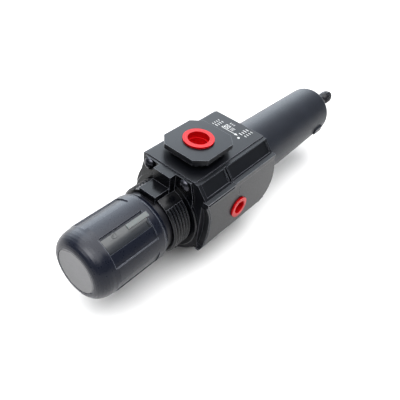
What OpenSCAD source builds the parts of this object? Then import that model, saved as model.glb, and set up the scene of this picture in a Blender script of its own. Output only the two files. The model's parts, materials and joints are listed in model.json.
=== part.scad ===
// Piggyback air filter regulator, lying on its outlet port boss.
// Origin: centre of the outlet port mouth. +X runs along the main axis from the
// knob to the drain, +Z from the outlet port to the inlet port, -Y to the front
// gauge port. Radii and stations below are measured from the main axis, and
// stations along it from the port centre line.

/* [Ports] */
// Distance between the inlet and outlet port faces
port_span = 80; // [78:0.5:84]
// Wall radius of the inlet and outlet threads (3/8 in parallel, minor)
port_r = 7.475; // [7.2:0.025:7.6]
// Wall radius of the gauge threads (1/4 in parallel, minor)
gauge_r = 5.72; // [5.5:0.02:5.8]
// Station of the gauge ports
gauge_x = 9.5; // [8:0.5:11]
// Size of the octagonal port plate along the main axis
plate_l = 36; // [34:0.5:38]
// Size of the octagonal port plate across the main axis
plate_w = 34; // [32:0.5:36]
// Thickness of the port plate
plate_t = 3.2; // [2.8:0.1:3.6]

/* [Body] */
// Station of the seam between bonnet and body
seam_x = -24.5; // [-25:0.1:-24]
// Station of the bowl end of the body
body_end_x = 43; // [42:0.5:45]
// Half width of the flat that carries the clamp flange
top_half_y = 21; // [20:0.5:22]
// Height of that flat above the axis
top_z = 32.4; // [32:0.1:33]
// Distance from the axis to the front gauge face
gauge_face_y = 30.1; // [30:0.1:31]
// Distance from the axis to the rear gauge face
rear_face_y = 25.5; // [25.3:0.1:26]
// Height of the upper edge of the gauge face
gauge_top_z = 20; // [19:0.5:20.5]
// Depth of the lower edge of the gauge face
gauge_low_z = 13.6; // [13:0.1:15]

/* [Bonnet] */
// Major radius of the panel thread
thread_r = 22; // [21.8:0.1:22.2]
// Pitch of the panel thread
thread_pitch = 2.3; // [2.2:0.05:2.35]
// Radius of the spring chamber
chamber_r = 14.5; // [14.3:0.1:14.6]
// Outer radius of the tube inside the knob
tube_r = 17; // [16.8:0.1:17.1]

/* [Knob] */
// Radius of the knob
knob_r = 21.5; // [21.2:0.1:21.8]
// Station of the flat end of the knob
knob_end_x = -95; // [-96:0.5:-94.5]
// Number of raised grip pads around the knob
pads = 6; // [5:1:7]
// Travel of the knob between turning freely and locked
knob_push = 2; // [1.8:0.1:2.2]

/* [Bowl] */
// Outer radius of the bowl at the body
bowl_r = 20.2; // [20.0:0.1:20.3]
// Outer radius of the bowl at its far end
bowl_end_r = 18.5; // [18.3:0.1:18.8]
// Station where the round end of the bowl starts
bowl_end_x = 143; // [135:1:150]
// Wall thickness of the bowl
bowl_wall = 2.3; // [2:0.1:2.5]

/* [Hidden] */
$fn = 72;

axis_z = port_span / 2;
run_gap = 0.05;
eps = 0.01;

// clamp flange and outlet boss
plate_chamfer = 6.4;
neck_inset = 8;
neck_chamfer = 4.5;
boss_w = 25;
boss_chamfer = 12.4;
rear_boss_r = 10;
rear_boss_y = 27.5;

// seam parts
diaphragm_t = 1.2;
diaphragm_r = 21.4;
tab_t = 6.5;
tab_half_y = 6.4;
base_t = 1.8;
base_r = 25.2;
screw_places = [[-13.5, 28.3], [13.5, 28.3], [-8, -23.3], [8, -23.3]];
screw_head_r = 3.8;
screw_head_t = 3;
screw_dome_r = 4.6;
screw_shank_r = 2;
screw_floor_x = seam_x - 1.6;
screw_tip_x = seam_x + 11;

gauge_floor_y = 17;
lip_x = seam_x - 2.3;
foot_t = 1.2;
scoop_x = -20;
scoop_z = 2;
scoop_r = 34;
scoop_floor_y = 25.9;
round_end_x = -12;
round_end_r = 28;

// panel thread on the bonnet
base_x = seam_x - base_t;
thread_turns = 6;
thread_root_r = thread_r - 1.2;
thread_end_x = base_x - thread_turns * thread_pitch;
neck_r = 17.6;
neck_end_x = -44;
arc_half_angle = 38;
lug_half_y = 6.2;
lug_low_z = 19.4;
lug_top_z = 23.9;

// slope between the port flat and the gauge face
slope_low_y = 28.3;
slope_low_z = 23.6;
slope_mid_y = (top_half_y + slope_low_y) / 2;
slope_mid_z = (top_z + slope_low_z) / 2;
slope_angle = atan2(top_z - slope_low_z, slope_low_y - top_half_y);
slope_w = norm([slope_low_y - top_half_y, top_z - slope_low_z]);

// knob and adjusting screw
shoulder_x = -85;
disc_r = 14.2;
skirt_x = -44.5;
skirt_in_r = 19.6;
grip_start_x = -83.5;
grip_end_x = -52.5;
gap_floor_r = knob_r - 0.7;
window_gap = 49;
pad_angle = (360 - window_gap) / (2 * pads - 1);
first_pad = 1.9;
window_at = first_pad + pad_angle / 2 + 15.5;
window_half = 12;
window_groove_half = 13.9;
window_floor_r = gap_floor_r - 0.6;
strip_at = first_pad + pad_angle / 2 + 8;
strip_half = 4;
strip_start_x = -66;
strip_end_x = -50.7;
tooth_count = 12;
hex_af = 9;
socket_r = 8;
screw_journal_r = 4;
collar_r = 7.5;
bonnet_end_x = -77.5;
chamber_end_x = -73;
lead = 2.5; // of the two-start adjusting thread

// moving inner parts
button_x = -69.2;
button_t = 3.4;
spring_wire_r = 1.5;
spring_coil_r = 10.6;
plate_x = seam_x - diaphragm_t;
seat_x = -12;
poppet_x = -9.6;
tail_r = 3;
guide_x = 4;
guide_r = 9;

// bowl joint
bowl_mouth_x = 28;
bore_r = 20.45;
bowl_turn = 45;
lug_x = 32;
lug_t = 3.2;
lug_r = 22.2;
dome_len = 8;
drain_x = bowl_end_x + dome_len;
drain_len = 30;
drain_bore_r = 3.6;

// ---- helpers ----

// Places children so that their +Z runs along the main axis from station x
module along(x = 0) {
    translate([x, 0, axis_z]) rotate([0, 90, 0]) children();
}

// Turns children about the main axis, from straight up towards -Y
module around(angle) {
    translate([0, 0, axis_z]) rotate([angle, 0, 0]) translate([0, 0, -axis_z]) children();
}

// Solid of revolution about the main axis from points [radius, station]
module turned(points) {
    along() rotate_extrude() polygon(points);
}

module tube(x0, x1, r_out, r_in = 0) {
    along(x0) difference() {
        cylinder(h = x1 - x0, r = r_out);
        if (r_in > 0) translate([0, 0, -1]) cylinder(h = x1 - x0 + 2, r = r_in);
    }
}

module block(x0, x1, y0, y1, z0, z1) {
    translate([x0, y0, axis_z + z0]) cube([x1 - x0, y1 - y0, z1 - z0]);
}

module hex_bar(x0, x1, across_flats) {
    along(x0) rotate(30) cylinder(h = x1 - x0, r = across_flats / sqrt(3), $fn = 6);
}

// Coil spring about the main axis between two stations
function coil_frame(t, r, x0, x1, turns) =
    let (a = 360 * turns * t) [r * cos(a), r * sin(a), x0 + (x1 - x0) * t, a];

module coil(x0, x1, r, wire_r, turns, steps = 20, sides = 8) {
    rings = turns * steps;
    lift = atan2(x1 - x0 - 2 * wire_r, 2 * PI * r * turns);
    points = [for (i = [0:rings], j = [0:sides - 1])
        let (f = coil_frame(i / rings, r, x0 + wire_r, x1 - wire_r, turns),
             b = 360 * j / sides, u = wire_r * cos(b), v = wire_r * sin(b))
        [f[0] + u * cos(f[3]) + v * sin(lift) * sin(f[3]),
         f[1] + u * sin(f[3]) - v * sin(lift) * cos(f[3]),
         f[2] + v * cos(lift)]];
    sides_faces = [for (i = [0:rings - 1], j = [0:sides - 1])
        [i * sides + j, i * sides + (j + 1) % sides,
         (i + 1) * sides + (j + 1) % sides, (i + 1) * sides + j]];
    ends = [[for (j = [sides - 1:-1:0]) j], [for (j = [0:sides - 1]) rings * sides + j]];
    along() polyhedron(points, concat(sides_faces, ends));
}

// ---- body and ports ----

module octagon(l, w, c) {
    polygon([[c - l / 2, -w / 2], [l / 2 - c, -w / 2], [l / 2, c - w / 2], [l / 2, w / 2 - c],
        [l / 2 - c, w / 2], [c - l / 2, w / 2], [-l / 2, w / 2 - c], [-l / 2, c - w / 2]]);
}

// Clamp flange on the inlet side: octagonal plate on a narrower neck
module inlet_flange() {
    neck_z = axis_z + top_z - 1;
    translate([0, 0, port_span - plate_t])
        linear_extrude(plate_t) octagon(plate_l, plate_w, plate_chamfer);
    translate([0, 0, neck_z]) linear_extrude(port_span - plate_t - neck_z + eps)
        octagon(plate_l - neck_inset, plate_w - neck_inset, neck_chamfer);
}

// Hexagonal boss on the outlet side, which the unit stands on
module outlet_boss() {
    linear_extrude(axis_z - top_z + 1) octagon(plate_l, boss_w, boss_chamfer);
}

// Cross-section of the body, y across and z up; the rear is plainer than the front
module body_section() {
    polygon([[-top_half_y, top_z], [-slope_low_y, slope_low_z], [-29.2, slope_low_z],
        [-29.2, -gauge_low_z], [-22, -26], [-17.5, -top_z],
        [17.5, -top_z], [22, -26], [rear_face_y, -gauge_low_z],
        [rear_face_y, 8], [24, 14], [20.5, 22], [20.5, top_z]]);
}

// Side view of the front gauge pad: square at the seam, round at the bowl end
module gauge_pad_outline() {
    low_r = 16;
    end_x = body_end_x + 5;
    intersection() {
        translate([gauge_x, 2]) circle(r = end_x - gauge_x);
        union() {
            translate([seam_x, -gauge_low_z]) square([end_x - low_r - seam_x, low_r]);
            translate([seam_x, low_r - gauge_low_z - eps])
                square([end_x - seam_x, gauge_top_z + gauge_low_z - low_r + eps]);
            translate([end_x - low_r, low_r - gauge_low_z]) circle(r = low_r);
        }
    }
}

// The pad's lower edge runs on past the seam as a thin foot
module gauge_pad() {
    translate([0, -gauge_floor_y, axis_z]) rotate([90, 0, 0])
        linear_extrude(gauge_face_y - gauge_floor_y) gauge_pad_outline();
    block(lip_x, seam_x + eps, -gauge_face_y, -27.2, -gauge_low_z, foot_t - gauge_low_z);
}

// Hollow curve that the gauge pad ends in next to the seam, with a shallow border along it
module seam_scoop() {
    intersection() {
        translate([scoop_x - scoop_r, 0, axis_z + scoop_z]) rotate([90, 0, 0]) {
            translate([0, 0, scoop_floor_y]) cylinder(h = 8, r = scoop_r);
            translate([0, 0, gauge_face_y - 0.35]) cylinder(h = 2, r = scoop_r + 1.3);
        }
        block(lip_x - 2, 0, -gauge_face_y - 3, 0, foot_t - gauge_low_z, gauge_top_z + 0.3);
    }
}

// Ledge above the gauge face, in two lengths with a small step between them
module ledge() {
    block(seam_x - 0.8, 1.2, -gauge_face_y - 0.8, -27.2, gauge_top_z + 0.7, slope_low_z);
    block(1.2, body_end_x + 0.5, -gauge_face_y - 0.5, -27, gauge_top_z + 0.8, slope_low_z + 0.4);
}

// Fine relief of the gauge side: slot in the ledge, parting line above the gauge port,
// and a rebate along the lower edge
module gauge_side_relief() {
    block(seam_x, 0.2, -gauge_face_y - 2, -gauge_face_y - 0.1, slope_low_z - 1.9, slope_low_z - 0.8);
    block(7.3, 7.7, -gauge_face_y - 1, 0.3 - gauge_face_y, 8, gauge_top_z + 0.5);
    block(lip_x - 1, 36, -gauge_face_y - 1, 0.5 - gauge_face_y, -gauge_low_z - 1, 0.9 - gauge_low_z);
}

// Sunk panels on the slope, with a deeper gap between them
module slope_panels() {
    translate([0, -slope_mid_y, axis_z + slope_mid_z]) rotate([slope_angle, 0, 0]) {
        translate([-22, -slope_w / 2 + 1.6, -0.8]) cube([20.5, slope_w - 3, 4]);
        translate([1.8, -slope_w / 2 + 1.6, -0.8]) cube([39.5, slope_w - 3, 4]);
        translate([-0.7, -slope_w / 2 + 0.6, -2]) cube([1.4, slope_w - 1.4, 5]);
    }
}

module threaded_port(side) {
    translate([0, 0, axis_z]) mirror([0, 0, side < 0 ? 1 : 0])
        translate([0, 0, 15]) cylinder(h = port_span, r = port_r);
}

// Straight drilling between two points given relative to the axis at the ports
module drilling(start, end, r) {
    run = end - start;
    translate([start[0], start[1], start[2] + axis_z])
        rotate([0, acos(run[2] / norm(run)), atan2(run[1], run[0])]) cylinder(h = norm(run), r = r);
}

module gauge_port(side) {
    translate([gauge_x, 0, axis_z]) rotate([side < 0 ? 90 : -90, 0, 0])
        translate([0, 0, gauge_floor_y]) cylinder(h = 40, r = gauge_r);
    drilling([gauge_x, side * (gauge_floor_y + 1), 0], [-2, 0, -14], 1.2);
}

module body() {
    color([0.13, 0.14, 0.16]) difference() {
        union() {
            translate([seam_x, 0, axis_z]) rotate([90, 0, 90])
                linear_extrude(body_end_x - seam_x) body_section();
            gauge_pad();
            ledge();
            inlet_flange();
            outlet_boss();
            tube(body_end_x - 1, body_end_x + 3, 24.5);
            translate([gauge_x, rear_boss_y, axis_z]) rotate([90, 0, 0])
                cylinder(h = rear_boss_y - gauge_floor_y, r = rear_boss_r);
        }
        slope_panels();
        gauge_side_relief();
        seam_scoop();
        for (side = [-1, 1]) {
            threaded_port(side);
            gauge_port(side);
        }
        // the outlet side is round next to the seam
        difference() {
            block(seam_x - 1, round_end_x, -rear_face_y - 5, rear_face_y + 5, -top_z - 1, -gauge_low_z);
            tube(seam_x - 2, round_end_x + 1, round_end_r);
        }
        // rebate along the long edges of the port flat
        for (y = [-top_half_y - 1, 19.2])
            block(seam_x - 1, body_end_x + 1, y, y + 2.8, top_z - 0.7, top_z + 1);
        // regulated air: sensing chamber, duct to the outlet, duct to the gauge ports
        tube(seam_x - 1, -18, 19.5);
        translate([-19, 0, axis_z - 14]) rotate([0, 90, 0]) cylinder(h = 19, r = 4.2);
        // main bore, inlet duct, filter chamber and bowl socket
        tube(-19, 0, 4.5);
        tube(seat_x, 15, guide_r);
        translate([0, 0, axis_z + 14]) rotate([0, 90, 0]) cylinder(h = 15, r = 4.2);
        tube(14, 27, 16);
        tube(26, body_end_x + 6, bore_r);
        tube(lug_x - 0.5, lug_x + lug_t + 0.5, lug_r + 0.25);
        for (a = [0, 120, 240]) around(a + bowl_turn) intersection() {
            tube(lug_x + 1, body_end_x + 6, lug_r + 0.4);
            block(lug_x + 1, body_end_x + 6, -7, 7, 5, 30);
        }
        // holes for the bonnet screws
        for (place = screw_places) translate([seam_x - 1, place[0], axis_z + place[1]])
            rotate([0, 90, 0]) cylinder(h = 14, r = screw_shank_r + run_gap);
    }
}

module plug_shape(r_flange, r_shank, r_hole, length) {
    difference() {
        union() {
            cylinder(h = 1.2, r = r_flange);
            translate([0, 0, -length]) cylinder(h = length, r = r_shank);
        }
        translate([0, 0, 1.5 - length]) cylinder(h = length, r = r_hole - 0.6);
        translate([0, 0, -3]) cylinder(h = 5, r = r_hole);
    }
}

module inlet_plug() {
    color([0.85, 0.07, 0.07]) translate([0, 0, port_span])
        plug_shape(9.6, port_r - run_gap, 6.6, 10);
}

module gauge_plug() {
    color([0.85, 0.07, 0.07]) translate([gauge_x, -gauge_face_y, axis_z]) rotate([90, 0, 0])
        plug_shape(7.2, gauge_r - run_gap, 4.4, 8);
}

// ---- bonnet and its screws ----

module bonnet_outline() {
    // thin plate that carries the screws, with a thick tab in the middle of its upper edge
    translate([screw_floor_x, 0, axis_z]) rotate([90, 0, 90]) linear_extrude(seam_x - screw_floor_x) {
        polygon([[-17.6, 31.8], [-20.2, 22], [-20.2, 10], [20.2, 10], [20.2, 22], [17.6, 31.8]]);
        for (place = screw_places) if (place[1] < 0) translate(place) circle(r = screw_head_r + 0.5);
    }
    block(seam_x - tab_t, seam_x, -tab_half_y, tab_half_y, 10, top_z - 0.6);
    // round base, panel thread core and neck
    turned([[0, seam_x], [base_r, seam_x], [base_r, base_x + 0.5], [base_r - 0.5, base_x],
        [thread_root_r, base_x], [thread_root_r, thread_end_x], [neck_r, thread_end_x],
        [neck_r, neck_end_x], [tube_r, neck_end_x], [tube_r, bonnet_end_x + 1],
        [tube_r - 1, bonnet_end_x], [0, bonnet_end_x]]);
    // the thread stops short of smooth arcs at the top and bottom, which carry flat lugs
    difference() {
        for (i = [0:thread_turns - 1]) thread_crest(thread_end_x + (i + 0.5) * thread_pitch);
        for (a = [0, 180]) around(a) wedge(thread_end_x - 1, base_x + 1, arc_half_angle - 0.5);
    }
    for (a = [0, 180]) around(a) {
        intersection() {
            tube(thread_end_x, base_x + 0.2, thread_root_r + 0.3);
            wedge(thread_end_x - 1, base_x + 1, arc_half_angle);
        }
        block(skirt_x + knob_push + 0.2, seam_x - tab_t + 1, -lug_half_y, lug_half_y, lug_low_z, lug_top_z);
    }
}

module thread_crest(x) {
    turned([[thread_root_r - 0.8, x - thread_pitch / 2], [thread_root_r - 0.1, x - thread_pitch / 2],
        [thread_r, x - 0.2], [thread_r, x + 0.2], [thread_root_r - 0.1, x + thread_pitch / 2],
        [thread_root_r - 0.8, x + thread_pitch / 2]]);
}

// Wedge above the axis, to keep within an angle each side of straight up
module wedge(x0, x1, half_angle) {
    reach = 40;
    translate([x0, 0, axis_z]) rotate([90, 0, 90]) linear_extrude(x1 - x0)
        polygon([[0, 0], [reach * sin(half_angle), reach * cos(half_angle)],
            [-reach * sin(half_angle), reach * cos(half_angle)]]);
}

// Hole for a screw, with room for its head in front
module screw_pocket(place) {
    translate([screw_floor_x, place[0], axis_z + place[1]]) rotate([0, 90, 0]) {
        translate([0, 0, -4]) cylinder(h = 4, r = screw_head_r + 0.4);
        translate([0, 0, -1]) cylinder(h = 6, r = screw_shank_r + run_gap);
    }
}

module bonnet() {
    color([0.10, 0.11, 0.12]) difference() {
        bonnet_outline();
        for (place = screw_places) screw_pocket(place);
        // spring chamber, opening out towards the diaphragm
        turned([[0, chamber_end_x], [chamber_r, chamber_end_x], [chamber_r, -36],
            [19.5, seam_x - 4], [19.5, plate_x], [0, plate_x]]);
        tube(plate_x - eps, seam_x + 1, diaphragm_r);
        tube(bonnet_end_x - 1, chamber_end_x + 1, screw_journal_r + run_gap);
        // bleed hole in the lower smooth arc
        around(205) translate([-34, 0, axis_z + 10]) cylinder(h = 14, r = 0.8);
    }
    // guide keys for the spring button
    color([0.10, 0.11, 0.12]) for (a = [90, 270]) around(a)
        block(chamber_end_x, -54, -1.5, 1.5, 13, chamber_r + 0.3);
}

module pan_screw() {
    difference() {
        union() {
            intersection() {
                translate([0, 0, -screw_head_t]) cylinder(h = screw_head_t, r = screw_head_r);
                translate([0, 0, screw_dome_r - screw_head_t]) sphere(r = screw_dome_r);
            }
            translate([0, 0, -eps]) cylinder(h = screw_tip_x - screw_floor_x, r = screw_shank_r);
        }
        for (a = [0, 90]) rotate(a) translate([-1.6, -0.35, -screw_head_t - 1]) cube([3.2, 0.7, 2.2]);
    }
}

module bonnet_screws() {
    color([0.30, 0.31, 0.33]) for (place = screw_places)
        translate([screw_floor_x, place[0], axis_z + place[1]]) rotate([0, 90, 0]) pan_screw();
}

// ---- knob and adjusting screw ----

// Ring on the neck with teeth that the pushed-in knob engages
module lock_ring() {
    color([0.05, 0.05, 0.06]) {
        tube(neck_end_x, thread_end_x - 0.05, 19.2, neck_r);
        for (i = [0:tooth_count - 1]) around(360 * i / tooth_count)
            block(neck_end_x - 2, neck_end_x + eps, -1, 1, 17.7, 19.1);
    }
}

module knob_shell() {
    arc_steps = 8;
    shoulder = [for (i = [0:arc_steps]) let (t = 90 * i / arc_steps)
        [disc_r + 0.4 + (knob_r - disc_r - 0.9) * sin(t), shoulder_x + (knob_end_x - shoulder_x) * cos(t)]];
    turned(concat([[0, knob_end_x]], shoulder,
        [[knob_r, shoulder_x + 3], [knob_r, skirt_x - 4], [knob_r - 0.4, skirt_x - 1.8],
         [knob_r - 1.3, skirt_x], [0, skirt_x]]));
}

// Part of a ring, over an angle each side of the given one
module sector_ring(x0, x1, r_out, r_in, at, half_angle) {
    around(at) intersection() {
        tube(x0, x1, r_out, r_in);
        wedge(x0 - 1, x1 + 1, half_angle);
    }
}

// What is cut away between the grip pads; the widest gap holds the window
module grip_gaps() {
    difference() {
        tube(grip_start_x, grip_end_x, knob_r + 1, gap_floor_r);
        for (i = [0:pads - 1]) around(first_pad - 2 * pad_angle * i) grip_pad();
    }
}

// Wedge with its sides leaning in near the knob's surface, which bevels the pad's edges
module grip_pad() {
    a = pad_angle / 2;
    inner = gap_floor_r + 0.2;
    outer = knob_r + 2;
    lean = 4.5;
    translate([grip_start_x - 1, 0, axis_z]) rotate([90, 0, 90])
        linear_extrude(grip_end_x - grip_start_x + 2) polygon([[0, 0],
            [inner * sin(a), inner * cos(a)], [outer * sin(a - lean), outer * cos(a - lean)],
            [-outer * sin(a - lean), outer * cos(a - lean)], [-inner * sin(a), inner * cos(a)]]);
}

module knob() {
    color([0.22, 0.23, 0.26]) {
        difference() {
            knob_shell();
            // hollow around the hexagon socket of the adjusting screw, wider at the skirt
            turned([[socket_r, -88], [tube_r + 0.3, -88], [tube_r + 0.3, skirt_x + 1],
                [0, skirt_x + 1], [0, -81], [socket_r, -81]]);
            hex_bar(-90.5, -80, hex_af + 0.2);
            tube(-50, skirt_x + 1, skirt_in_r);
            tube(knob_end_x - 1, knob_end_x + 1.5, disc_r);
            grip_gaps();
            sector_ring(grip_start_x + 0.3, grip_end_x - 0.3, knob_r + 2, window_floor_r,
                window_at - 1.4, window_groove_half);
            sector_ring(strip_start_x, strip_end_x + 0.1, knob_r + 3, window_floor_r + 0.25,
                strip_at, strip_half + 0.1);
            // fine line near the skirt, and its witness hole
            difference() {
                tube(-47.6, -47, knob_r + 1);
                tube(-48, -46, knob_r - 0.5);
            }
            around(80) translate([-46, 0, axis_z + 15]) cylinder(h = 10, r = 0.8);
        }
        // teeth that meet the lock ring when the knob is pushed in
        for (i = [0:tooth_count - 1]) around(360 * (i + 0.5) / tooth_count)
            block(-48.8, -46.3, -1, 1, 17.9, 19.9);
    }
}

// Curved plate in the widest gap, with a sunk frame, a ring and room for the pale strip
module knob_window() {
    color([0.42, 0.44, 0.46]) {
        difference() {
            sector_ring(grip_start_x + 0.4, grip_end_x - 0.4, gap_floor_r + 0.2, window_floor_r + 0.02,
                window_at, window_half);
            sector_ring(strip_start_x - 0.1, grip_end_x + 1, knob_r + 1, window_floor_r + 0.25,
                strip_at, strip_half + 0.1);
            sector_ring(strip_start_x, grip_end_x - 1.6, knob_r + 1.5, gap_floor_r - 0.3,
                window_at + 6, 5);
        }
        around(strip_at - 0.5) translate([-75, 0, axis_z + gap_floor_r - 0.2]) difference() {
            cylinder(h = 0.7, r = 1.6);
            translate([0, 0, -1]) cylinder(h = 3, r = 1.1);
        }
    }
}

module knob_strip() {
    color([0.62, 0.65, 0.67]) sector_ring(strip_start_x, strip_end_x, knob_r + 0.1, window_floor_r + 0.27,
        strip_at, strip_half);
}

module knob_cap() {
    color([0.50, 0.51, 0.53]) {
        tube(knob_end_x + 0.2, knob_end_x + 1.5, disc_r - 0.3);
        tube(knob_end_x, knob_end_x + 0.3, disc_r - 1);
    }
}

module adjusting_screw() {
    color([0.55, 0.56, 0.58]) difference() {
        union() {
            hex_bar(-88, -79.2, hex_af);
            tube(-79.4, chamber_end_x + 0.8, screw_journal_r);
            tube(chamber_end_x + 0.75, chamber_end_x + 2.8, collar_r);
            tube(chamber_end_x + 2.5, -46, 3.2);
            for (x = [chamber_end_x + 3.6:lead / 2:-47.2])
                turned([[3, x - 0.5], [3.95, x - 0.1], [3.95, x + 0.1], [3, x + 0.5]]);
        }
        // groove for the clip
        difference() {
            tube(-78.35, -77.55, screw_journal_r + 1);
            tube(-79, -77, 3.2);
        }
    }
}

module screw_clip() {
    color([0.35, 0.35, 0.37]) difference() {
        tube(-78.3, -77.6, 6.4, 3.25);
        block(-79, -77, -2.4, 2.4, -8, 0);
    }
}

module thrust_washer() {
    color([0.75, 0.74, 0.68])
        tube(chamber_end_x + 0.05, chamber_end_x + 0.7, collar_r, screw_journal_r + 0.1);
}

// Travelling nut that loads the regulating spring
module spring_button() {
    color([0.72, 0.60, 0.30]) difference() {
        union() {
            tube(button_x, button_x + button_t, chamber_r - 0.25);
            tube(button_x, button_x + 8, 7.6);
        }
        tube(button_x - 1, button_x + 9, screw_journal_r + run_gap);
        for (a = [90, 270]) around(a) block(button_x - 1, button_x + button_t + 1, -1.7, 1.7, 12.8, 16);
    }
}

module regulating_spring() {
    color([0.50, 0.51, 0.53])
        coil(button_x + button_t + 0.05, plate_x - 1.85, spring_coil_r, spring_wire_r, 6);
}

// ---- diaphragm and valve ----

module diaphragm() {
    color([0.12, 0.12, 0.13]) difference() {
        turned([[2.05, plate_x], [14.2, plate_x], [15.4, plate_x - 1.6], [17, plate_x - 2],
            [18.4, plate_x - 1.4], [19.4, plate_x], [diaphragm_r - run_gap, plate_x],
            [diaphragm_r - run_gap, seam_x - 0.02], [19.2, seam_x - 0.02], [18, plate_x - 0.1],
            [17, plate_x - 0.6], [16, plate_x - 0.3], [14.6, seam_x - 0.02], [2.05, seam_x - 0.02]]);
        tube(plate_x - 3, seam_x + 1, 2.05);
    }
}

module spring_plate() {
    color([0.60, 0.61, 0.63]) difference() {
        union() {
            tube(plate_x - 1.8, plate_x - 0.02, 13.6);
            tube(plate_x - 4.6, plate_x - 0.5, 8.4);
        }
        tube(plate_x - 6, plate_x + 1, 3.6);
    }
}

module relief_seat() {
    color([0.72, 0.60, 0.30]) difference() {
        union() {
            tube(seam_x, seam_x + 1.6, 12);
            tube(plate_x - 4, seam_x + 0.5, 2);
            tube(plate_x - 5.4, plate_x - 3.9, 3.4);
        }
        tube(plate_x - 7, seam_x + 3, 0.8);
    }
}

module valve_seat() {
    color([0.72, 0.60, 0.30]) difference() {
        union() {
            tube(seat_x + 0.02, seat_x + 1.6, guide_r - run_gap);
            tube(seat_x + 1.5, seat_x + 2.3, 5.2);
        }
        tube(seat_x - 1, seat_x + 4, 4);
    }
}

module valve_poppet() {
    color([0.70, 0.58, 0.28]) {
        tube(seam_x + 1.62, poppet_x + 0.1, 1.7);
        tube(poppet_x, poppet_x + 2.2, 6.6);
        tube(poppet_x + 2.1, guide_x + 7, tail_r);
    }
}

module valve_spring() {
    color([0.60, 0.61, 0.63]) coil(poppet_x + 2.25, guide_x - 0.05, 4.7, 0.5, 6, 16, 6);
}

module valve_guide() {
    color([0.16, 0.16, 0.17]) difference() {
        union() {
            tube(guide_x, guide_x + 3, guide_r - run_gap);
            tube(guide_x + 2.5, 18.4, 6.4);
        }
        tube(guide_x - 1, 13.5, tail_r + run_gap);
        for (a = [30:60:330]) around(a)
            translate([guide_x - 1, 0, axis_z + 7.6]) rotate([0, 90, 0]) cylinder(h = 6, r = 0.9);
        tube(13.4, 20, 2.5);
    }
}

module guide_seal() {
    color([0.05, 0.05, 0.05]) along(guide_x + 3.8)
        rotate_extrude() translate([guide_r - 0.85, 0]) circle(r = 0.78, $fn = 24);
}

// ---- filter ----

module filter_rod() {
    color([0.60, 0.61, 0.63]) tube(13.6, 86, 2.48);
}

module swirl_louver() {
    color([0.85, 0.86, 0.84]) {
        difference() {
            tube(18.5, 27, 13);
            tube(20.5, 28, 11.4);
            tube(17, 24, 2.6);
        }
        for (i = [0:11]) around(30 * i)
            translate([22.5, 0, axis_z + 14.1]) rotate([0, 0, 35])
                cube([6.4, 1, 2.9], center = true);
    }
}

module filter_element() {
    color([0.90, 0.88, 0.82]) tube(27.02, 76, 12.6, 9);
}

module baffle() {
    color([0.16, 0.16, 0.17]) difference() {
        turned([[2.55, 76.02], [13.4, 76.02], [14.6, 84], [13.9, 84], [12.6, 77.6], [2.55, 77.6]]);
        tube(70, 90, 2.55);
    }
}

module baffle_nut() {
    color([0.60, 0.61, 0.63]) difference() {
        hex_bar(77.65, 81.6, 8);
        tube(70, 90, 2.5);
    }
}

// ---- bowl and drain ----

module bowl() {
    dome_steps = 8;
    in_r = bowl_end_r - bowl_wall;
    dome = [for (i = [0:dome_steps]) let (t = 90 * i / dome_steps)
        [6.4 + (bowl_end_r - 6.4) * cos(t), bowl_end_x + dome_len * sin(t)]];
    dome_in = [for (i = [dome_steps:-1:0]) let (t = 90 * i / dome_steps)
        [drain_bore_r + (in_r - drain_bore_r) * cos(t), bowl_end_x + (dome_len - 2.6) * sin(t)]];
    color([0.09, 0.10, 0.11]) {
        difference() {
            turned(concat([[bowl_r - bowl_wall, bowl_mouth_x], [bore_r - run_gap, bowl_mouth_x],
                [bore_r - run_gap, body_end_x + 2.6], [bowl_r, body_end_x + 3.4], [bowl_r, 60]],
                dome, [[5.4, drain_x + 3.4], [drain_bore_r, drain_x + 3.4]], dome_in,
                [[in_r, bowl_end_x - 1], [bowl_r - bowl_wall, 60]]));
            // seal groove
            difference() {
                tube(29, 31, bore_r + 1);
                tube(28.5, 31.5, 18.5);
            }
        }
        // bayonet lugs
        for (a = [0, 120, 240]) around(a) intersection() {
            tube(lug_x, lug_x + lug_t, lug_r, bore_r - 0.6);
            block(lug_x, lug_x + lug_t, -6, 6, 5, 30);
        }
        // grip lug at the far end
        around(100) block(126, 136, -2.4, 2.4, 17, bowl_end_r + 1.6);
    }
}

module bowl_seal() {
    color([0.05, 0.05, 0.05]) along(30)
        rotate_extrude() translate([19.45, 0]) circle(r = 0.92, $fn = 24);
}

module drain_valve() {
    knurls = 12;
    color([0.08, 0.08, 0.09]) difference() {
        union() {
            tube(drain_x - 1, drain_x + 6, drain_bore_r - run_gap);
            turned([[0, drain_x + 3.6], [4.6, drain_x + 3.6], [4.6, drain_x + 8], [3.2, drain_x + 10],
                [3.2, drain_x + 18], [4.8, drain_x + 20.5], [5.1, drain_x + 23.5],
                [4.8, drain_x + 26.5], [3.2, drain_x + drain_len], [0, drain_x + drain_len]]);
            tube(drain_x - 5, drain_x - 3.2, 4.6);
            tube(drain_x - 3.3, drain_x - 0.9, drain_bore_r - run_gap);
        }
        for (i = [0:knurls - 1]) around(360 * i / knurls)
            translate([drain_x + 19.5, 0, axis_z + 5.6]) rotate([0, 90, 0]) cylinder(h = 8, r = 0.9);
        tube(drain_x - 6, drain_x + drain_len + 1, 1.1);
    }
}

module drain_seal() {
    color([0.05, 0.05, 0.05]) tube(drain_x - 3.18, drain_x - 2.66, 4.7, drain_bore_r);
}

body();
bonnet();
bonnet_screws();
lock_ring();
knob();
knob_cap();
knob_window();
knob_strip();
adjusting_screw();
screw_clip();
thrust_washer();
spring_button();
regulating_spring();
diaphragm();
spring_plate();
relief_seat();
valve_seat();
valve_poppet();
valve_spring();
valve_guide();
guide_seal();
filter_rod();
swirl_louver();
filter_element();
baffle();
baffle_nut();
bowl();
bowl_seal();
drain_valve();
drain_seal();
inlet_plug();
gauge_plug();
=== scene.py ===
import json
import math

import bmesh
import bpy
from mathutils import Matrix, Vector


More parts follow.
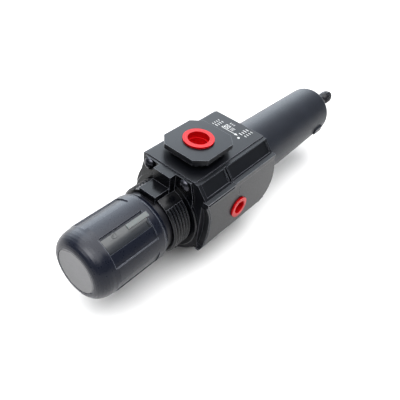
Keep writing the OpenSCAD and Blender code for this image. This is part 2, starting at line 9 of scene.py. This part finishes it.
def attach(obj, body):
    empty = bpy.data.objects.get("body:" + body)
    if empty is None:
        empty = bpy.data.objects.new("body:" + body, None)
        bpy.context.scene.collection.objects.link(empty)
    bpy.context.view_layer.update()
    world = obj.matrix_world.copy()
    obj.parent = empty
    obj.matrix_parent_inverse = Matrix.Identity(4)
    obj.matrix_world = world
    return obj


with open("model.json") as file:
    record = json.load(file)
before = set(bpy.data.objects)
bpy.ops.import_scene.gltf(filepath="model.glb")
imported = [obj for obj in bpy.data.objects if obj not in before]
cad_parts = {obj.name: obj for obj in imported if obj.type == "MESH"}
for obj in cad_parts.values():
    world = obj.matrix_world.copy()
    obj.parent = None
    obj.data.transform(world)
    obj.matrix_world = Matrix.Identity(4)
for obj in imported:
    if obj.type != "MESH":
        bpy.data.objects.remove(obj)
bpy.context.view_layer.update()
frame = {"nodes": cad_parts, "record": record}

# The looks of an air filter regulator lying on its outlet boss. Lengths are metres,
# in the part's own frame: +X from the knob to the drain, +Z up, the main axis level.
MM = 0.001
AXIS_Z = 40 * MM
TOP_FLAT_Z = 72.4 * MM

CAMERA_PLACE = Vector((-196.1, -142.9, 252.0)) * MM
CAMERA_AZIMUTH = math.radians(-55.31)
CAMERA_ELEVATION = math.radians(42.15)
CAMERA_ROLL = math.radians(8.01)
LENS_MM, SENSOR_MM = 45, 36
CLIP_NEAR, CLIP_FAR = 0.01, 20

# Softboxes face this point. Each row: name, direction, distance, side, watts, seen in gloss only.
LIGHT_TARGET = Vector((0.03, 0, AXIS_Z))
LIGHTS = (
    ("overhead", (-0.15, -0.05, 1.0), 1.3, 2.2, 60, False),
    ("near_softbox", (-0.55, -0.15, 0.75), 1.0, 0.5, 4.0, True),
)

# The bright wall that shows in gloss: its middle, how far it reaches (a cosine) and how it fades.
WALL_DIRECTION = Vector((0.45, 0.80, 0.38)).normalized()
WALL_EDGE = 0.45
WALL_FADE = 2.2
WALL_GLOW = 5.0
ROOM_GLOW = 0.40
ROOM_COLOUR = (0.86, 0.93, 1.0, 1)
BACKDROP_COLOUR = (0.96, 0.96, 0.96, 1)

FLOOR_HALF = 3.0
FLOOR_GLOW_FROM, FLOOR_GLOW_TO = 0.5, 1.5

# Noise scales are bumps to the metre.
SKIN_SCALE = 1500.0
SHEEN_SCALE = 900.0
SATIN_SPECULAR = 0.3
BEVEL_SAMPLES = 8
LEAN_NONE, LEAN_FULL = 0.98, 0.88   # cosines between a rounded normal and the true one

WELD_DISTANCE = 0.000002
SHARP_ANGLE = math.radians(32)


# ---- nodes of materials and the world ----

def feed(owner, socket, value):
    """Links another node's output to a socket, or sets the socket's own value."""
    if isinstance(value, bpy.types.NodeSocket):
        owner.node_tree.links.new(value, socket)
    else:
        socket.default_value = value


def add(owner, kind, props=None, *values, **inputs):
    """Adds a shader node to a material or world.

    The values fill its first inputs in order, and the others go by name, where _ stands for
    a space. Each is a plain value or another node's output.
    """
    made = owner.node_tree.nodes.new("ShaderNode" + kind)
    for key, value in (props or {}).items():
        setattr(made, key, value)
    for socket, value in zip(made.inputs, values):
        feed(owner, socket, value)
    for key, value in inputs.items():
        feed(owner, made.inputs[key.replace("_", " ")], value)
    return made


def calculate(owner, operation, *values):
    return add(owner, "Math", {"operation": operation}, *values).outputs[0]


def measure(owner, operation, *vectors):
    """The number that a vector operation gives, such as a length or dot product."""
    return add(owner, "VectorMath", {"operation": operation}, *vectors).outputs["Value"]


def new_material(name):
    mat = bpy.data.materials.new(name)
    mat.use_nodes = True
    return mat


def finish_material(mat, **inputs):
    """Sets inputs of the material's Principled shader."""
    shader = mat.node_tree.nodes["Principled BSDF"]
    for key, value in inputs.items():
        feed(mat, shader.inputs[key.replace("_", " ")], value)


def object_coords(mat):
    return add(mat, "TexCoord").outputs["Object"]


def noise(mat, scale, detail=3.0, stretch=None):
    """Noise from 0 to 1; stretch scales each axis."""
    vector = object_coords(mat)
    if stretch:
        vector = add(mat, "Mapping", Vector=vector, Scale=stretch).outputs[0]
    return add(mat, "TexNoise", Vector=vector, Scale=scale, Detail=detail).outputs[0]


def spread(mat, value, low, high, from_low=0.3, from_high=0.7):
    """Maps the middle of a noise onto low to high."""
    return add(mat, "MapRange", Value=value, From_Min=from_low, From_Max=from_high,
               To_Min=low, To_Max=high).outputs[0]


def smooth_step(mat, value, low, high):
    return add(mat, "MapRange", {"interpolation_type": "SMOOTHSTEP"}, Value=value,
               From_Min=low, From_Max=high).outputs[0]


def mix(mat, share, colour_a, colour_b):
    """Blends two colours, or outputs, by share."""
    return add(mat, "MixRGB", Fac=share, Color1=colour_a, Color2=colour_b).outputs[0]


def rgba(colour, gain=1.0):
    return (*(min(1.0, c * gain) for c in colour), 1)


def painted_edge_highlight(mat, radius, patches):
    """1 on sharp edges, which get a painted highlight, and 0 on flats, from how far a rounded
    normal leans.
    """
    rounded = add(mat, "Bevel", {"samples": BEVEL_SAMPLES}, Radius=radius).outputs[0]
    true = add(mat, "NewGeometry").outputs["Normal"]
    lean = measure(mat, "DOT_PRODUCT", rounded, true)
    share = add(mat, "MapRange", Value=lean, From_Min=LEAN_NONE, From_Max=LEAN_FULL).outputs[0]
    return calculate(mat, "MULTIPLY", share, spread(mat, noise(mat, patches), 0.7, 1.0))


def bump(mat, height, depth, strength, **props):
    return add(mat, "Bump", props, Strength=strength, Distance=depth, Height=height).outputs[0]


def grain_bump(mat, scale, depth, strength):
    return bump(mat, noise(mat, scale, 4.0), depth, strength)


# ---- materials ----

def painted_metal(name, colour, roughness, edge_highlight_colour, orange_peel=0.00004):
    """Satin paint on cast metal: fine orange peel, cloudy tone, and a painted highlight that makes
    the sharp edges paler.
    """
    mat = new_material(name)
    cloud = spread(mat, noise(mat, 70.0, 4.0), 0.0, 1.0)
    tone = mix(mat, cloud, rgba(colour, 0.85), rgba(colour, 1.15))
    # Sharp edges painted paler: a painted highlight along them.
    base = mix(mat, painted_edge_highlight(mat, 0.00045, 260.0), tone, rgba(edge_highlight_colour))
    rough = spread(mat, noise(mat, SHEEN_SCALE, 4.0), roughness - 0.04, roughness + 0.05)
    finish_material(mat, Base_Color=base, Roughness=rough, Specular_IOR_Level=SATIN_SPECULAR,
                    Normal=grain_bump(mat, SKIN_SCALE, orange_peel, 0.22))
    return mat


def moulded_plastic(name, colour, roughness, edge_highlight_colour=None, glow=0.0):
    """Satin moulded plastic: spark-eroded grain, faint flow marks along the pull, and a painted
    highlight on the sharp edges when a colour for it is given.
    """
    mat = new_material(name)
    flow = spread(mat, noise(mat, 30.0, 3.0, (0.3, 1.0, 1.0)), 0.0, 1.0)
    base = mix(mat, flow, rgba(colour, 0.9), rgba(colour, 1.12))
    # Sharp edges painted paler when a colour for it is given: a painted highlight along them.
    if edge_highlight_colour:
        base = mix(mat, painted_edge_highlight(mat, 0.0005, 400.0), base, rgba(edge_highlight_colour))
    rough = spread(mat, noise(mat, SHEEN_SCALE, 4.0), roughness - 0.03, roughness + 0.05)
    finish_material(mat, Base_Color=base, Roughness=rough, Specular_IOR_Level=SATIN_SPECULAR,
                    Subsurface_Weight=glow, Subsurface_Radius=(0.002, 0.001, 0.001),
                    Normal=grain_bump(mat, SKIN_SCALE, 0.00003, 0.25))
    return mat


def smoky_window(name):
    """Grey window moulding, painted paler towards its upper side as a painted highlight where light
    falls from above.
    """
    mat = new_material(name)
    across = add(mat, "SeparateXYZ", Vector=object_coords(mat)).outputs["Y"]
    # Paler towards the top of the knob: painted light, where the top catches the lamps.
    painted_top_light = smooth_step(mat, across, -11.6 * MM, -9.8 * MM)
    base = mix(mat, painted_top_light, (0.010, 0.012, 0.016, 1), (0.055, 0.058, 0.06, 1))
    rough = spread(mat, noise(mat, SHEEN_SCALE), 0.28, 0.4)
    finish_material(mat, Base_Color=base, Roughness=rough,
                    Normal=grain_bump(mat, 2400.0, 0.00004, 0.4))
    return mat


def red_plastic(name):
    """Soft polyethylene, deep red where it is thick and in shade."""
    mat = new_material(name)
    flow = spread(mat, noise(mat, 120.0, 2.0), 0.0, 1.0)
    base = mix(mat, flow, (0.40, 0.002, 0.004, 1), (0.48, 0.004, 0.007, 1))
    rough = spread(mat, noise(mat, 500.0), 0.30, 0.38)
    finish_material(mat, Base_Color=base, Roughness=rough, Specular_IOR_Level=0.25,
                    Subsurface_Weight=0.12, Subsurface_Radius=(0.002, 0.0004, 0.0004),
                    Normal=grain_bump(mat, 900.0, 0.00002, 0.15))
    return mat


def turned_metal(name, colour, roughness):
    """Bare metal with fine lathe lines round the main axis and light staining."""
    mat = new_material(name)
    stain = spread(mat, noise(mat, 150.0, 4.0), 0.0, 1.0)
    base = mix(mat, stain, rgba(colour, 0.8), rgba(colour, 1.1))
    lines = noise(mat, 1.0, 2.0, (9000.0, 60.0, 60.0))
    rough = spread(mat, lines, roughness - 0.08, roughness + 0.1)
    finish_material(mat, Base_Color=base, Metallic=1.0, Roughness=rough,
                    Normal=bump(mat, lines, 0.00002, 0.3))
    return mat


def rubber(name):
    """Matt black rubber with a grey bloom."""
    mat = new_material(name)
    bloom = spread(mat, noise(mat, 220.0, 4.0), 0.0, 1.0)
    base = mix(mat, bloom, (0.012, 0.012, 0.013, 1), (0.035, 0.035, 0.036, 1))
    finish_material(mat, Base_Color=base, Roughness=spread(mat, bloom, 0.6, 0.8, 0.0, 1.0),
                    Normal=grain_bump(mat, 1800.0, 0.00004, 0.5))
    return mat


def porous_media(name):
    """Sintered beads: a cell pattern about half a millimetre across."""
    mat = new_material(name)
    cells = add(mat, "TexVoronoi", Vector=object_coords(mat), Scale=1800.0).outputs["Distance"]
    shade = spread(mat, cells, 0.0, 1.0, 0.1, 0.7)
    base = mix(mat, shade, (0.86, 0.84, 0.77, 1), (0.52, 0.50, 0.43, 1))
    finish_material(mat, Base_Color=base, Roughness=0.85,
                    Normal=bump(mat, cells, 0.0002, 0.8, invert=True))
    return mat


def printed_ink(name):
    """White pad-printed ink, thin in places."""
    mat = new_material(name)
    thin = spread(mat, noise(mat, 1400.0, 5.0), 0.0, 1.0, 0.25, 0.5)
    base = mix(mat, thin, (0.22, 0.225, 0.23, 1), (0.50, 0.51, 0.51, 1))
    finish_material(mat, Base_Color=base, Roughness=0.5,
                    Normal=grain_bump(mat, 2600.0, 0.00003, 0.5))
    return mat


def white_table(name):
    """Matt white, with a glow that sets in away from the object and keeps the horizon white."""
    mat = new_material(name)
    tone = add(mat, "MapRange", Value=noise(mat, 40.0), To_Min=0.86, To_Max=0.88).outputs[0]
    white = add(mat, "CombineColor", None, tone, tone, tone).outputs[0]
    reach = measure(mat, "LENGTH", object_coords(mat))
    finish_material(mat, Base_Color=white, Roughness=0.9, Emission_Color=(1, 1, 1, 1),
                    Emission_Strength=smooth_step(mat, reach, FLOOR_GLOW_FROM, FLOOR_GLOW_TO))
    return mat


def make_materials():
    # This pale grey, and any fourth entry of a row below, is the colour of a painted edge
    # highlight.
    edge_highlight_grey = (0.15, 0.155, 0.175)
    recipes = {
        "body_paint": (painted_metal, (0.0045, 0.0050, 0.0070), 0.33, edge_highlight_grey),
        "bonnet_paint": (painted_metal, (0.0026, 0.0029, 0.0042), 0.22, edge_highlight_grey),
        "bowl_paint": (painted_metal, (0.013, 0.015, 0.021), 0.42, (0.05, 0.055, 0.065), 0.00003),
        "knob_plastic": (moulded_plastic, (0.0060, 0.0075, 0.0145), 0.29, (0.15, 0.16, 0.185)),
        "cap_plastic": (moulded_plastic, (0.165, 0.165, 0.17), 0.5),
        "strip_plastic": (moulded_plastic, (0.115, 0.125, 0.125), 0.40, None, 0.2),
        "black_plastic": (moulded_plastic, (0.007, 0.007, 0.010), 0.38, (0.05, 0.05, 0.06)),
        "louver_plastic": (moulded_plastic, (0.70, 0.71, 0.68), 0.4, None, 0.3),
        "dark_steel": (turned_metal, (0.045, 0.045, 0.052), 0.24),
        "zinc_steel": (turned_metal, (0.62, 0.64, 0.68), 0.30),
        "brass": (turned_metal, (0.78, 0.58, 0.26), 0.30),
        "window_plastic": (smoky_window,),
        "red_plastic": (red_plastic,),
        "seal_rubber": (rubber,),
        "filter_media": (porous_media,),
        "white_ink": (printed_ink,),
    }
    return {name: make(name, *values) for name, (make, *values) in recipes.items()}


# ---- camera, floor and light ----

def link_object(name, data):
    made = bpy.data.objects.new(name, data)
    bpy.context.scene.collection.objects.link(made)
    return made


def make_camera():
    data = bpy.data.cameras.new("camera")
    data.lens, data.sensor_width = LENS_MM, SENSOR_MM
    data.clip_start, data.clip_end = CLIP_NEAR, CLIP_FAR
    camera = link_object("camera", data)
    az, el = CAMERA_AZIMUTH, CAMERA_ELEVATION
    back = Vector((math.sin(az) * math.cos(el), -math.cos(az) * math.cos(el), math.sin(el)))
    level = (-back).cross(Vector((0, 0, 1))).normalized()
    right = math.cos(CAMERA_ROLL) * level + math.sin(CAMERA_ROLL) * level.cross(-back)
    turn = Matrix((right, back.cross(right), back)).transposed()
    camera.matrix_world = Matrix.Translation(CAMERA_PLACE) @ turn.to_4x4()
    bpy.context.scene.camera = camera


def make_lights():
    for name, toward, distance, side, watts, gloss_only in LIGHTS:
        data = bpy.data.lights.new(name, "AREA")
        data.size, data.energy = side, watts
        lamp = link_object(name, data)
        direction = Vector(toward).normalized()
        lamp.location = LIGHT_TARGET + direction * distance
        lamp.rotation_mode = "QUATERNION"
        lamp.rotation_quaternion = (-direction).to_track_quat("-Z", "Y")
        lamp.visible_diffuse = not gloss_only


def make_world():
    """A dim studio with a bright wall behind the object, and a pale backdrop for the camera."""
    world = bpy.data.worlds.new("studio")
    bpy.context.scene.world = world
    world.use_nodes = True
    world.node_tree.nodes.clear()
    generated = add(world, "TexCoord").outputs["Generated"]
    toward_wall = measure(world, "DOT_PRODUCT", generated, WALL_DIRECTION)
    near_wall = add(world, "MapRange", Value=toward_wall, From_Min=WALL_EDGE).outputs[0]
    fade = calculate(world, "POWER", near_wall, WALL_FADE)
    glow = calculate(world, "MULTIPLY_ADD", fade, WALL_GLOW, ROOM_GLOW)
    room = add(world, "Background", Color=ROOM_COLOUR, Strength=glow).outputs[0]
    backdrop = add(world, "Background", Color=BACKDROP_COLOUR).outputs[0]
    seen = add(world, "LightPath").outputs["Is Camera Ray"]
    pick = add(world, "MixShader", None, seen, room, backdrop).outputs[0]
    add(world, "OutputWorld", Surface=pick)
    world.cycles_visibility.diffuse = False


def make_floor():
    half = FLOOR_HALF
    corners = [(-half, -half, 0), (half, -half, 0), (half, half, 0), (-half, half, 0)]
    mesh = bpy.data.meshes.new("floor")
    mesh.from_pydata(corners, [], [(0, 1, 2, 3)])
    floor = link_object("floor", mesh)
    floor.data.materials.append(white_table("white_table"))


# ---- the CAD nodes ----

# How far the sharp edges of a node are rounded, in millimetres.
EDGE_WIDTH = {
    "body": 0.35, "bonnet": 0.2, "bonnet_screws": 0.12, "lock_ring": 0.15,
    "knob_cap": 0.2, "knob_window": 0.06, "knob_strip": 0.12,
    "bowl": 0.2, "drain_valve": 0.15, "inlet_plug": 0.3, "gauge_plug": 0.25,
}


def soften(node, width):
    """Rounds a node's sharp edges with modifiers, which leave its own mesh as it is."""
    weld = node.modifiers.new("weld", "WELD")
    weld.merge_threshold = WELD_DISTANCE
    bevel = node.modifiers.new("round_edges", "BEVEL")
    bevel.width = width
    bevel.segments = 2
    bevel.limit_method = "ANGLE"
    bevel.angle_limit = SHARP_ANGLE
    bevel.use_clamp_overlap = True
    normals = node.modifiers.new("even_normals", "WEIGHTED_NORMAL")
    normals.keep_sharp = False
    normals.weight = 100


def dress_nodes(materials):
    slots = {row["node"]: row["material_slot"] for row in frame["record"]["subparts"]}
    for name, node in frame["nodes"].items():
        node.data.materials.clear()
        node.data.materials.append(materials[slots[name]])
        if name in EDGE_WIDTH:
            soften(node, EDGE_WIDTH[name] * MM)


# ---- the printed symbol ----

INK_SUNK, INK_RAISED = 0.02 * MM, 0.03 * MM
DOT_STEPS = 20

# Bars are x, y, length, width in millimetres, and the angle of their length from +X in degrees.
FILTER_SQUARE = (
    (32.0, 1.2, 3.4, 0.4, 0), (32.0, 4.6, 3.4, 0.4, 0),
    (32.0, 1.2, 3.4, 0.4, 90), (35.4, 1.2, 3.4, 0.4, 90),
    (32.0, 1.2, 4.8, 0.4, 45), (35.4, 1.2, 4.8, 0.4, 135),
)
FLOW_LINE = ((30.7, -5.4, 10.6, 0.45, 90), (30.7, 5.2, 1.3, 0.45, 0))
ARROW_HEAD = ((29.6, -5.4), (31.8, -5.4), (30.7, -7.6))
END_DOT_X, END_DOT_Y, END_DOT_R = 29.0, -9.6, 0.9


def raised_mark(bm, outline):
    """A thin raised mark on the top flat, with an outline in millimetres."""
    low, high = TOP_FLAT_Z - INK_SUNK, TOP_FLAT_Z + INK_RAISED
    below = [bm.verts.new((x * MM, y * MM, low)) for x, y in outline]
    above = [bm.verts.new((x * MM, y * MM, high)) for x, y in outline]
    bm.faces.new(above)
    bm.faces.new(below[::-1])
    for i in range(len(outline)):
        j = (i + 1) % len(outline)
        bm.faces.new((below[i], below[j], above[j], above[i]))


def raised_bar(bm, x, y, length, width, angle):
    turn = Matrix.Rotation(math.radians(angle), 2)
    corners = ((0, -width / 2), (length, -width / 2), (length, width / 2), (0, width / 2))
    raised_mark(bm, [Vector((x, y)) + turn @ Vector(corner) for corner in corners])


def raised_dot(bm, x, y, radius):
    turns = [2 * math.pi * i / DOT_STEPS for i in range(DOT_STEPS)]
    raised_mark(bm, [(x + radius * math.cos(a), y + radius * math.sin(a)) for a in turns])


def symbol_bars():
    """Two rows of short bars at each end of the symbol, then its square, ticks and flow line."""
    bars = []
    for i in range(4):
        bars.append((29.6 + 2.0 * i, 7.6, 2.4 - 0.5 * (i % 2), 0.55, 90))
        bars.append((29.4 + 2.0 * i, 10.6, 1.6, 0.5, 90))
    for i in range(4):
        bars.append((33.4 + 2.2 * i, -9.4, 2.8 - 0.6 * (i % 2), 0.65, 90))
        bars.append((33.6 + 2.2 * i, -12.6, 1.9, 0.55, 90))
    bars.extend(FILTER_SQUARE)
    for i in range(3):
        bars.append((32.5 + 1.2 * i, -2.6, 2.6, 0.35, 90))
        bars.append((37.2, 3.6 - 1.5 * i, 1.8, 0.4, 0))
    bars.extend(FLOW_LINE)
    return bars


def make_printed_symbol(material):
    """Generic flow marks on the flat beside the inlet, with no lettering."""
    bm = bmesh.new()
    for bar in symbol_bars():
        raised_bar(bm, *bar)
    raised_mark(bm, ARROW_HEAD)
    raised_dot(bm, END_DOT_X, END_DOT_Y, END_DOT_R)
    bmesh.ops.recalc_face_normals(bm, faces=bm.faces)
    mesh = bpy.data.meshes.new("printed_symbol")
    bm.to_mesh(mesh)
    bm.free()
    piece = link_object("printed_symbol", mesh)
    piece.data.materials.append(material)
    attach(piece, "housing")


make_camera()
make_world()
make_lights()
make_floor()
materials = make_materials()
dress_nodes(materials)
make_printed_symbol(materials["white_ink"])

view = bpy.context.scene.view_settings
view.view_transform = "Standard"
view.look = "Medium High Contrast"
